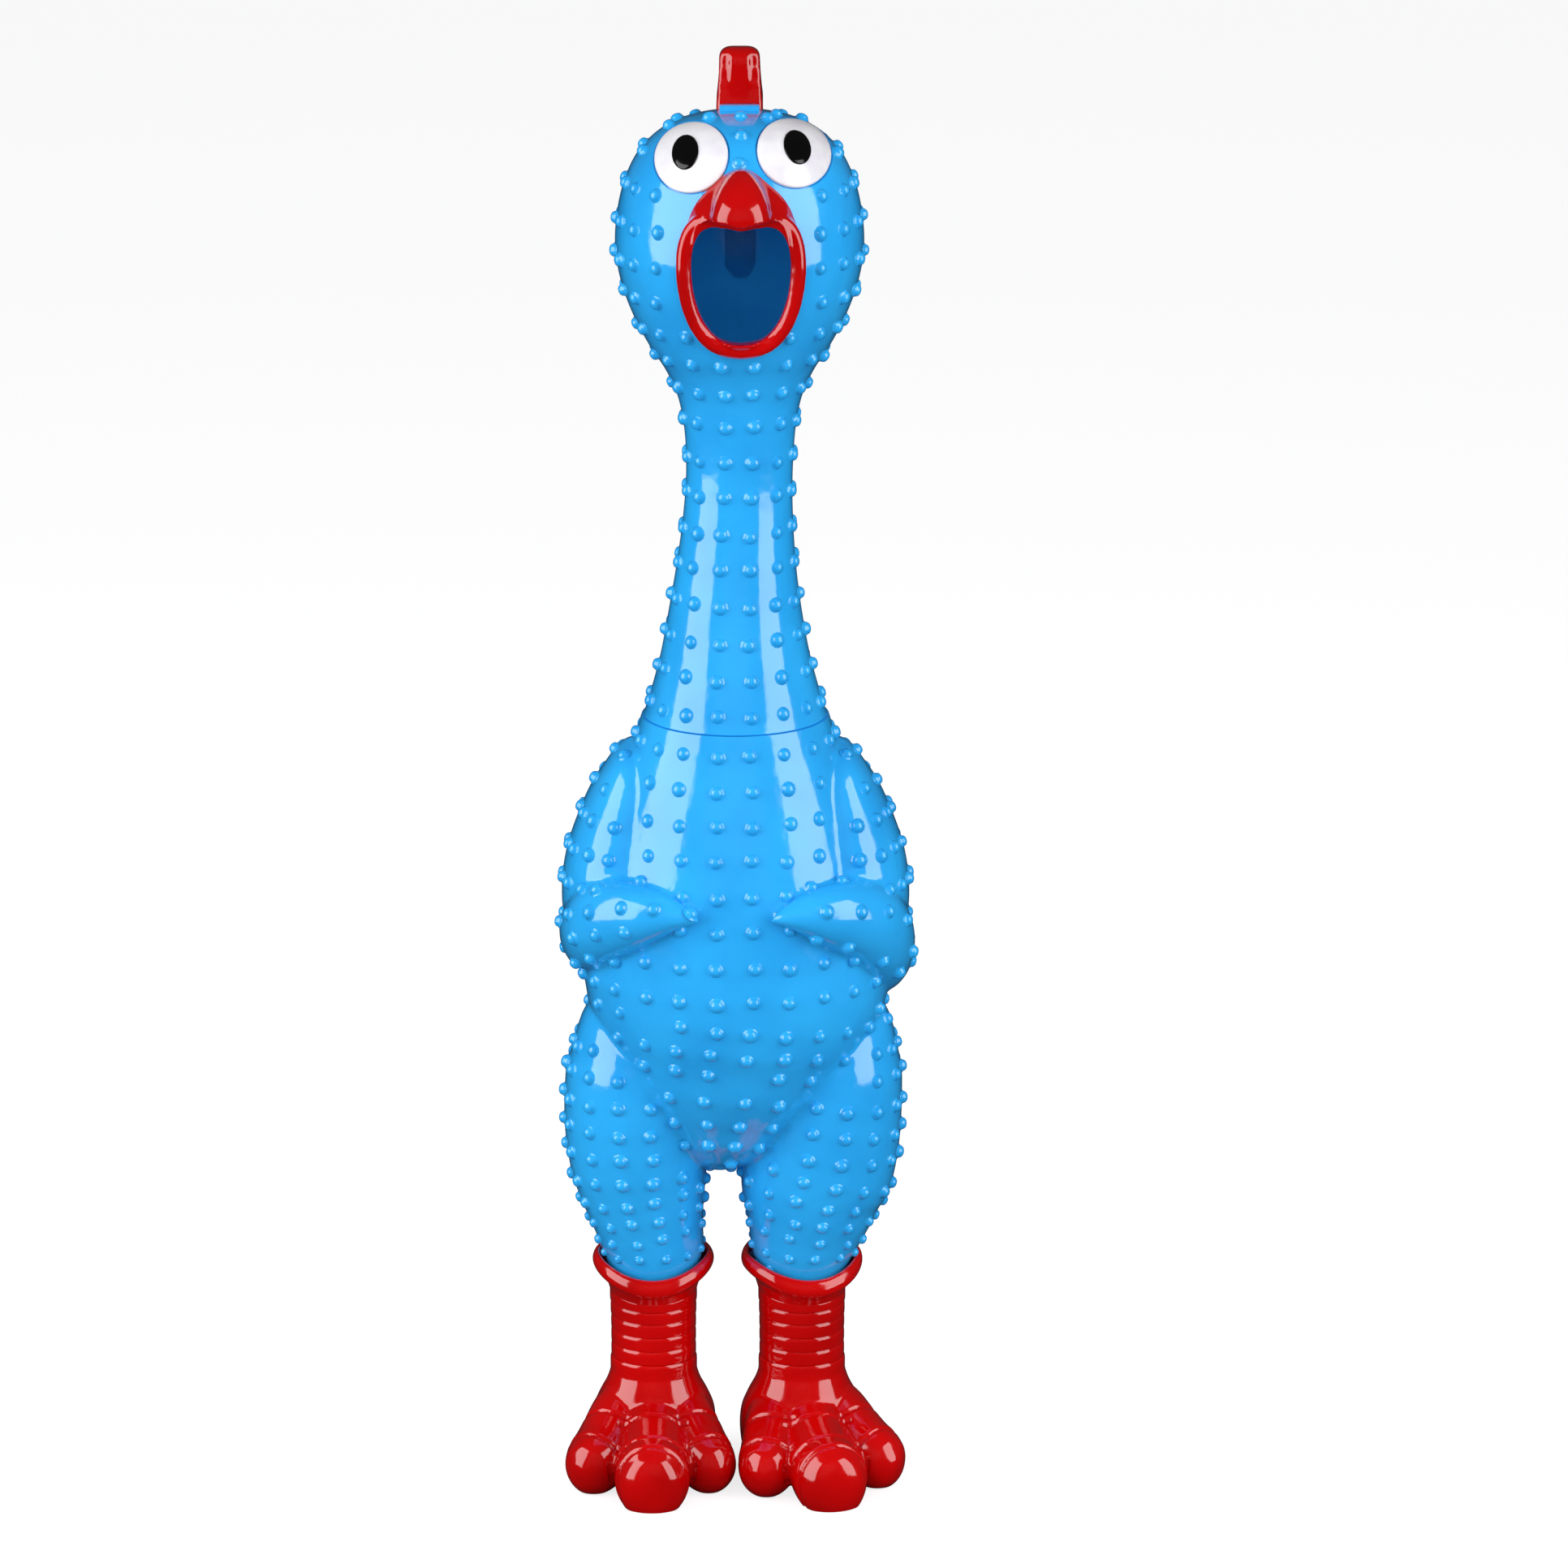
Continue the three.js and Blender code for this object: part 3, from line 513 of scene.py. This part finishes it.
# Moulded ABS: an even bright gloss, with a faint violet cloud over a centimetre.
eye_abs = bpy.data.materials.new("moulded_abs_gloss_white")
eye_abs.use_nodes = True
tree = eye_abs.node_tree
shader = tree.nodes["Principled BSDF"]
shader.inputs["Roughness"].default_value = 0.16
shader.inputs["IOR"].default_value = 1.53
place = node(tree, "ShaderNodeTexCoord").outputs["Object"]
bloom = node(tree, "ShaderNodeTexNoise", {"Vector": place, "Scale": 1 / (11 * MM), "Detail": 2.0})
tint = node(tree, "ShaderNodeValToRGB", {"Fac": bloom.outputs["Fac"]})
tint.color_ramp.elements[0].position = 0.36
tint.color_ramp.elements[0].color = linear("e6e3ec")
tint.color_ramp.elements[1].position = 0.58
tint.color_ramp.elements[1].color = linear("f0eff3")
tree.links.new(tint.outputs["Color"], shader.inputs["Base Color"])

# Sprayed black lacquer: a near mirror, with a fine mist of duller spots.
pupil_lacquer = bpy.data.materials.new("sprayed_lacquer_gloss_black")
pupil_lacquer.use_nodes = True
tree = pupil_lacquer.node_tree
shader = tree.nodes["Principled BSDF"]
shader.inputs["Base Color"].default_value = linear("090808")
shader.inputs["IOR"].default_value = 1.5
place = node(tree, "ShaderNodeTexCoord").outputs["Object"]
mist = node(tree, "ShaderNodeTexNoise", {"Vector": place, "Scale": 1 / (1.4 * MM), "Detail": 2.0})
haze = node(tree, "ShaderNodeMapRange", {"Value": mist.outputs["Fac"], "To Min": 0.07, "To Max": 0.16})
tree.links.new(haze.outputs["Result"], shader.inputs["Roughness"])

for side, word in ((LEFT, "left"), (RIGHT, "right")):
    view = eye_view(side)
    bed_bm = bmesh.new()
    bed_steps = [(share, -BED_DEPTH) for share in (0.03, 0.35, 0.7, 1)]
    bed_steps += [(share, 4) for share in (1, 0.5, 0.03)]
    add_cap(bed_bm, view, EYE_WIDE + GROOVE, EYE_TALL + GROOVE, (0, 0), 0, bed_steps)
    combine(head, to_object("bed", bed_bm), "DIFFERENCE")
    eye_bm = bmesh.new()
    add_cap(eye_bm, view, EYE_WIDE, EYE_TALL, (0, 0), 0, cap_steps(0.7, 1.5, 1.1))
    eye = to_object(f"eye_white_{word}", eye_bm)
    x, z, twist = EYES[side]["pupil"]
    pupil_bm = bmesh.new()
    add_cap(pupil_bm, view, 4.9, 6.8, (x, z), twist,
            [(0.04, 1.2), (0.5, 1.2), (1, 1.2), (1, 2.35), (0.97, 2.6), (0.9, 2.75), (0.75, 2.9), (0.5, 3),
             (0.25, 3.05), (0.04, 3.07)])
    pupil = to_object(f"eye_black_{word}", pupil_bm)
    for piece, material, part, slot in ((eye, eye_abs, "eye", "white_plastic"),
                                        (pupil, pupil_lacquer, "pupil", "black_plastic")):
        dress(piece, material, 50)
        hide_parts(f"{part}_{word}")
        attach(piece, "head")
bpy.data.objects.remove(probe)
dress(head, blue_pvc, 32)
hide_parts("head_shell")
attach(head, "head")

# ---------------------------------------------------------------------------
# Nubs: the round grip bumps of the two blue mouldings, cast with the skin and
# set in level rows about 14 mm apart, a pair each side of the middle line.
# ---------------------------------------------------------------------------
NUB = [(3.3, -0.25), (2.85, 0.12), (2.5, 0.5), (2.3, 1.05), (1.95, 1.6), (1.35, 2.02), (0.6, 2.22), (0, 2.26)]
nub_bm = bmesh.new()
add_spun(nub_bm, [(r, z) for r, z in NUB], 12)
bmesh.ops.remove_doubles(nub_bm, verts=nub_bm.verts, dist=0.01 * MM)
bmesh.ops.recalc_face_normals(nub_bm, faces=nub_bm.faces)
bmesh.ops.translate(nub_bm, verts=nub_bm.verts, vec=(0, -AXIS_Y * MM, 0))
nub_mesh = bpy.data.meshes.new("nub")
nub_bm.to_mesh(nub_mesh)
nub_bm.free()
dice = random.Random(7)
JITTER = 0.7  # how far a nub may stray from its row
REACH = 2.6  # a place further than this from the skin gets no nub
CLEARANCE = 3.6  # between a nub's middle and another piece


def limb_places(rows, start=0.5, along=(14.3, 14.3), around=14.3, side=(1, 0, 0)):
    """Points over a limb in rings, each laid out from the front line to both sides. The rings' spacing runs
    from the first to the last of along, and around a thin limb the points stand closer too."""
    fine = curve(rows, 400)
    steps = np.diff(fine[:, :3], axis=0)
    length = np.concatenate([[0], np.cumsum(np.hypot(np.linalg.norm(steps, axis=1), np.diff(fine[:, 3])))])
    frames = limb_frames(fine, side)
    angles = np.linspace(0, math.pi, 120)
    at = along[0] * start
    while at < length[-1]:
        i = int(np.searchsorted(length, at))
        wide, deep = fine[i][3:5]
        arc = np.hypot(np.diff(wide * np.sin(angles)), np.diff(deep * np.cos(angles)))
        arc = np.concatenate([[0], np.cumsum(arc)])
        count = max(1, round(arc[-1] / min(5.6 + 0.25 * wide, around)))
        for k in range(count):
            angle = np.interp((k + 0.5) * arc[-1] / count, arc, angles)
            for hand in (1, -1):
                yield frames[i] @ Vector((hand * math.sin(angle), -math.cos(angle), 0))
        at += along[0] + (along[1] - along[0]) * at / length[-1]


def add_nubs(name, places, skin, keep_off, apart, body_name, spared=0):
    """Sets nubs on the skin at the places that lie on it, off other pieces and off each other. The first
    spared places may lie close to other pieces."""
    skin_bvh = bvh(skin)
    off = [bvh(piece) for piece in keep_off]
    taken = []
    bm = bmesh.new()
    for place in places:
        jitter = Vector((dice.uniform(-1, 1), dice.uniform(-1, 1), dice.uniform(-1, 1))) * JITTER * MM
        hit, normal, _, distance = skin_bvh.find_nearest(place + jitter)
        if distance > REACH * MM:
            continue
        if any((hit - other).length < apart(hit.z / MM) * MM for other in taken):
            continue
        if len(taken) >= spared and any(tree.find_nearest(hit)[3] < CLEARANCE * MM for tree in off):
            continue
        taken.append(hit.copy())
        # The nubs are smaller towards the ankles.
        size = dice.uniform(0.93, 1.08) * (0.7 + 0.3 * min(max((hit.z / MM - 88) / 42, 0), 1))
        upright = normal.to_track_quat("Z", "Y").to_matrix().to_4x4()
        spot = Matrix.Translation(hit) @ upright @ Matrix.Scale(size, 4)
        first = len(bm.verts)
        bm.from_mesh(nub_mesh)
        bm.verts.ensure_lookup_table()
        bmesh.ops.transform(bm, matrix=spot, verts=bm.verts[first:])
    mesh = bpy.data.meshes.new(name)
    bm.to_mesh(mesh)
    bm.free()
    nubs = bpy.data.objects.new(name, mesh)
    bpy.context.scene.collection.objects.link(nubs)
    dress(nubs, blue_pvc, 80)
    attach(nubs, body_name)
    return nubs


LEAN = 2  # the throat bends the head this much to the chicken's left
BEND_Z = 350  # where the bend starts
BEND_LENGTH = 80


def lean(piece):
    """Bends a piece with the throat."""
    for vert in piece.data.vertices:
        rise = min(max((vert.co.z / MM - BEND_Z) / BEND_LENGTH, 0), 1)
        vert.co.x += LEAN * MM * rise * rise * (3 - 2 * rise)


head_rows = [(0, 0, z, r, r) for r, z in HEAD]
brow = [Vector((0.8, skin_front(0, z) + AXIS_Y, z)) * MM for z in (555.8, 551.6, 543)]
eyes = [bpy.data.objects[f"eye_{colour}_{word}"]
        for word in ("left", "right") for colour in ("white", "black")]
head_nubs = add_nubs("head_nubs", [*brow, *limb_places(head_rows, start=0.45)], head, [beak, comb, *eyes],
                     lambda z: 9.0, "head", spared=len(brow))
for piece in (head, comb, beak, *eyes, head_nubs):
    lean(piece)
body_places = list(limb_places(TORSO[-4::-1], start=0.05))
for side, turned in ((LEFT, list), (RIGHT, mirrored)):
    body_places += limb_places(THIGH[side], along=(14.3, 7.5), around=13)
    body_places += limb_places(turned(UPPER_ARM), start=0.6)
    body_places += limb_places(turned(FOREARM[side]), start=0.5, along=(13, 13), side=(0, 0, 1))
ankle_bm = bmesh.new()
for x in ANKLE.values():
    add_limb(ankle_bm, [(x, 0, 50, 24, 24), (x, 0, 81, 24, 24), (x, 0, 82, 20, 20)], 8)
ankles = to_object("ankles", ankle_bm)
add_nubs("body_nubs", body_places, body, [ankles], lambda z: min(5.6 + max(z - 90, 0) * 0.07, 9.4), "body")
bpy.data.objects.remove(ankles)

# ---------------------------------------------------------------------------
# Boots: two red PVC mouldings pushed over the leg stubs, where they can turn.
# Each has a rolled cuff, a shank with shallow hoops, and three jointed toes.
# ---------------------------------------------------------------------------
CUFF = [(17.3, 76.4), (18.1, 78.2), (19.2, 80.6), (20.8, 82.8), (22.6, 84.3), (24.1, 86.2), (24.5, 88.4),
        (23.9, 90.5), (22.7, 91.5), (21.6, 91), (20.9, 89.2), (20.4, 86), (18.9, 80), (17.2, 74), (15.6, 66),
        (15, 58), (14.6, 52), (0, 52)]
CUFF_BACK, CUFF_FRONT = 2.5, -7  # the cuff rises this much behind and is cut low in front
HOOPS = 7
HOOP_PITCH = 5.8
HOOP = [(-0.38, 0), (0, 0.35), (0.08, 1.2), (0.1, 2.6), (0.1, 4), (0.02, 4.9), (-0.16, 5.4), (-0.38, 5.75)]
TOE_OUT = {LEFT: 14, RIGHT: 0}  # degrees that each boot is turned outwards at rest
MIDDLE_TOE = [(0, 4, 27, 10, 10), (0, -8, 21.5, 14, 14.2), (0, -21, 16.2, 15, 15.2),
              (0, -34, 13.2, 15.3, 15.3), (0, -46, 10.6, 15.3, 16.6), (0, -52, 9.8, 14, 16),
              (0, -56.6, 9.8, 11.2, 13), (0, -59.4, 9.8, 7, 8.2), (0, -60.4, 9.8, 0.5, 0.5)]
INNER_TOE = [(6.6, 3, 27, 10.4, 10.4), (10.8, -5, 23.4, 12.5, 12.6), (14.6, -13.5, 18.2, 12.8, 13),
             (18.3, -22, 13.8, 12.5, 13), (22, -30, 11, 12, 12.6), (25.6, -36, 9.9, 9.4, 10.2),
             (27.8, -39.4, 9.4, 4.6, 5.2), (28.5, -40.4, 9.2, 0.4, 0.4)]
OUTER_TOE = [(7.4, 3, 27.4, 10.6, 10.6), (12, -5, 23.6, 12.8, 12.8), (16, -13.5, 18.2, 13, 13.2),
             (19.6, -22, 13.8, 13, 13.2), (23.4, -30, 11, 12.6, 13), (26.9, -36, 9.8, 9.8, 10.8),
             (29, -39.4, 9.3, 4.8, 5.6), (29.7, -40.4, 9.1, 0.4, 0.4)]
FOOT = [(0, 3, -3, 20, 20), (0, 2, 6, 23.5, 24), (0, 1, 16, 25, 24.4), (0, 0.6, 24, 24.6, 23),
        (0, 0.3, 30, 22.4, 21), (0, 0, 36, 19.3, 19), (0, 0, 41, 17.6, 17.6), (0, 0, 44, 17.2, 17.2),
        (0, 0, 45, 12, 12)]


CREASE_DEPTH = 0.85
CREASE_WIDTH = 0.8


def press_joints(piece, rows, places, reach):
    """Presses a fine crease round a toe at each place, counted in rows along it, out to a reach."""
    mesh = piece.data
    points = np.empty(len(mesh.vertices) * 3)
    normals = np.empty(len(mesh.vertices) * 3)
    mesh.vertices.foreach_get("co", points)
    mesh.vertex_normals.foreach_get("vector", normals)
    points, normals = points.reshape(-1, 3), normals.reshape(-1, 3)
    fine = curve(rows, 10 * (len(rows) - 1) + 1)[:, :3] + (0, AXIS_Y, 0)
    for place in places:
        at = round(place * 10)
        along = fine[at + 1] - fine[at - 1]
        off = points / MM - fine[at]
        past = off @ (along / np.linalg.norm(along))
        near = np.linalg.norm(off, axis=1) < reach
        press = np.exp(-(past / CREASE_WIDTH) ** 2) * near * CREASE_DEPTH * MM
        points = points - normals * press[:, None]
    mesh.vertices.foreach_set("co", points.ravel())


def shank_radius(z):
    """The shank widens gently towards the cuff and the instep."""
    return 17.1 + 0.0016 * max(z - 54, 0) ** 2 + 0.012 * max(47 - z, 0) ** 2


def boot(side, word):
    """One boot: the foot with its toes, cut level at the sole, the hooped shank and the tilted cuff."""
    bm = bmesh.new()
    left, right = (OUTER_TOE, INNER_TOE) if side == LEFT else (INNER_TOE, OUTER_TOE)
    toes = ((MIDDLE_TOE, (2.1, 3.5, 4.75), 18), (left, (2.1, 3.9), 15.5), (mirrored(right), (2.1, 3.9), 15.5))
    add_limb(bm, FOOT, 40, 56)
    for rows, _, _ in toes:
        add_limb(bm, rows, 60, 40)
    made = to_object(f"boot_skin_{word}", bm)
    melt(made, 0.65, 9)
    for rows, places, reach in toes:
        press_joints(made, rows, places, reach)
    sole_bm = bmesh.new()
    under = Matrix.Translation((0, 0, -0.05)) @ Matrix.Diagonal((0.3, 0.3, 0.1, 1))
    bmesh.ops.create_cube(sole_bm, size=1, matrix=under)
    combine(made, to_object("sole_cutter", sole_bm), "DIFFERENCE")
    shank = [(0, 38), (16, 38), (17, 40)]
    for k in range(HOOPS):
        low = 41.6 + k * HOOP_PITCH
        shank += [(shank_radius(low) + r, low + up) for r, up in HOOP]
    bm = bmesh.new()
    add_spun(bm, [*shank, *curve(CUFF, 90)], 96)
    for vert in bm.verts:
        back = (vert.co.y - AXIS_Y * MM) / (24 * MM)
        share = min(max((vert.co.z / MM - 66) / 18, 0), 1)
        share = share * share * (3 - 2 * share) * min(back * back, 1)
        vert.co.z += share * MM * (CUFF_BACK if back > 0 else CUFF_FRONT)
    combine(made, to_object("shank", bm), "UNION")
    pivot = Vector((0, AXIS_Y * MM, 0))
    place = Matrix.Translation(Vector((ANKLE[side] * MM, 0, 0)) + pivot)
    turn = Matrix.Rotation(math.radians(TOE_OUT[side]), 4, "Z")
    made.data.transform(place @ turn @ Matrix.Translation(-pivot))
    dress(made, red_pvc, 40)
    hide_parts(f"boot_{word}")
    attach(made, f"boot_{word}")


boot(LEFT, "left")
boot(RIGHT, "right")

# ---------------------------------------------------------------------------
# Whistle: the small moulded reed unit in the neck's root, of natural
# polypropylene, with a reed of polyester film. The modelled solids are kept.
# ---------------------------------------------------------------------------
# Natural polypropylene: a milky off-white with a dull, finely grained skin.
whistle_pp = bpy.data.materials.new("moulded_polypropylene_natural")
whistle_pp.use_nodes = True
tree = whistle_pp.node_tree
shader = tree.nodes["Principled BSDF"]
shader.inputs["IOR"].default_value = 1.49
place = node(tree, "ShaderNodeTexCoord").outputs["Object"]
milk = node(tree, "ShaderNodeTexNoise", {"Vector": place, "Scale": 1 / (6 * MM), "Detail": 3.0})
tint = node(tree, "ShaderNodeValToRGB", {"Fac": milk.outputs["Fac"]})
tint.color_ramp.elements[0].color = linear("ddd9cc")
tint.color_ramp.elements[1].color = linear("efece4")
tree.links.new(tint.outputs["Color"], shader.inputs["Base Color"])
grain = node(tree, "ShaderNodeBump", {"Height": milk.outputs["Fac"], "Strength": 0.2, "Distance": 0.1 * MM})
tree.links.new(grain.outputs["Normal"], shader.inputs["Normal"])
shader.inputs["Roughness"].default_value = 0.42

# Slit polyester film: pale clear grey, with faint lines along which it was drawn.
reed_pet = bpy.data.materials.new("slit_polyester_film_clear_grey")
reed_pet.use_nodes = True
tree = reed_pet.node_tree
shader = tree.nodes["Principled BSDF"]
shader.inputs["IOR"].default_value = 1.64
place = node(tree, "ShaderNodeTexCoord").outputs["Object"]
drawn = node(tree, "ShaderNodeTexWave", {"Vector": place, "Scale": 1 / (2.5 * MM), "Distortion": 1.5})
tint = node(tree, "ShaderNodeValToRGB", {"Fac": drawn.outputs["Fac"]})
tint.color_ramp.elements[0].color = linear("d2d8dc")
tint.color_ramp.elements[1].color = linear("dfe4e7")
tree.links.new(tint.outputs["Color"], shader.inputs["Base Color"])
shader.inputs["Roughness"].default_value = 0.25
for name in ("whistle_housing", "whistle_shallot", "whistle_clamp", "whistle_reed"):
    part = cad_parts[name]
    part.data.materials.clear()
    part.data.materials.append(reed_pet if name == "whistle_reed" else whistle_pp)

# ---------------------------------------------------------------------------
# Stage: a pale floor that glows to the camera and reflects dark in the gloss,
# two tall softboxes at the sides, a soft fill from the front, and the camera.
# ---------------------------------------------------------------------------
floor_mat = bpy.data.materials.new("matt_paper_white")
floor_mat.use_nodes = True
tree = floor_mat.node_tree
paper = tree.nodes["Principled BSDF"]
paper.inputs["Base Color"].default_value = linear("a6a6a8")
paper.inputs["Roughness"].default_value = 0.8
paper.inputs["Specular IOR Level"].default_value = 0.1
paper.inputs["Emission Color"].default_value = linear("ffffff")
paper.inputs["Emission Strength"].default_value = 0.78
ray = node(tree, "ShaderNodeLightPath").outputs
grey = node(tree, "ShaderNodeMapRange", {"Value": ray["Is Glossy Ray"], "To Min": 0.26, "To Max": 0.02})
dim = node(tree, "ShaderNodeBsdfDiffuse", {"Color": grey.outputs["Result"]})
split = node(tree, "ShaderNodeMixShader", {0: ray["Is Camera Ray"], 1: dim.outputs["BSDF"],
                                           2: paper.outputs["BSDF"]})
tree.links.new(split.outputs["Shader"], tree.nodes["Material Output"].inputs["Surface"])
floor_bm = bmesh.new()
bmesh.ops.create_grid(floor_bm, x_segments=1, y_segments=1, size=12)
floor = to_object("floor", floor_bm)
floor.data.transform(Matrix.Translation((0, 0, -0.0003)))
floor.data.materials.append(floor_mat)


def softbox(name, azimuth, distance, height, wide, tall, radiance, aim=(0, 0, 0.3)):
    """A rectangular light aimed at the chicken, turned by an azimuth from straight in front of it."""
    light = bpy.data.lights.new(name, "AREA")
    light.shape = "RECTANGLE"
    light.size, light.size_y = wide, tall
    light.energy = radiance * math.pi * wide * tall
    lamp = bpy.data.objects.new(name, light)
    turn = math.radians(azimuth)
    lamp.location = (math.sin(turn) * distance, -math.cos(turn) * distance, height)
    lamp.rotation_euler = (Vector(aim) - lamp.location).to_track_quat("-Z", "Y").to_euler()
    bpy.context.scene.collection.objects.link(lamp)
    return lamp


softbox("softbox_left", -66, 1.7, 0.75, 1.5, 2.0, 2.9)
softbox("softbox_right", 62, 1.7, 0.75, 1.2, 2.0, 2.9)
fill = softbox("front_fill", 0, 2.2, 1.1, 2.2, 1.6, 2.1)
fill.visible_glossy = False

world = bpy.data.worlds.new("studio")
world.use_nodes = True
tree = world.node_tree
glossy = node(tree, "ShaderNodeLightPath").outputs["Is Glossy Ray"]
dimmed = node(tree, "ShaderNodeMapRange", {"Value": glossy, "To Min": 0.4, "To Max": 0.03})
tree.nodes["Background"].inputs["Color"].default_value = (1, 1, 1, 1)
tree.links.new(dimmed.outputs["Result"], tree.nodes["Background"].inputs["Strength"])
bpy.context.scene.world = world
bpy.context.scene.view_settings.view_transform = "Standard"

CAMERA = {"elevation": 15, "distance": 3.0, "aim": (0.0193, 0.002, 0.286), "lens": 173.4}
camera_data = bpy.data.cameras.new("camera")
camera_data.lens = CAMERA["lens"]
camera_data.sensor_width = 36
camera_data.clip_end = 50
camera = bpy.data.objects.new("camera", camera_data)
rise = math.radians(CAMERA["elevation"])
camera.location = Vector(CAMERA["aim"]) + Vector((0, -math.cos(rise), math.sin(rise))) * CAMERA["distance"]
camera.rotation_euler = (Vector(CAMERA["aim"]) - camera.location).to_track_quat("-Z", "Y").to_euler()
bpy.context.scene.collection.objects.link(camera)
bpy.context.scene.camera = camera
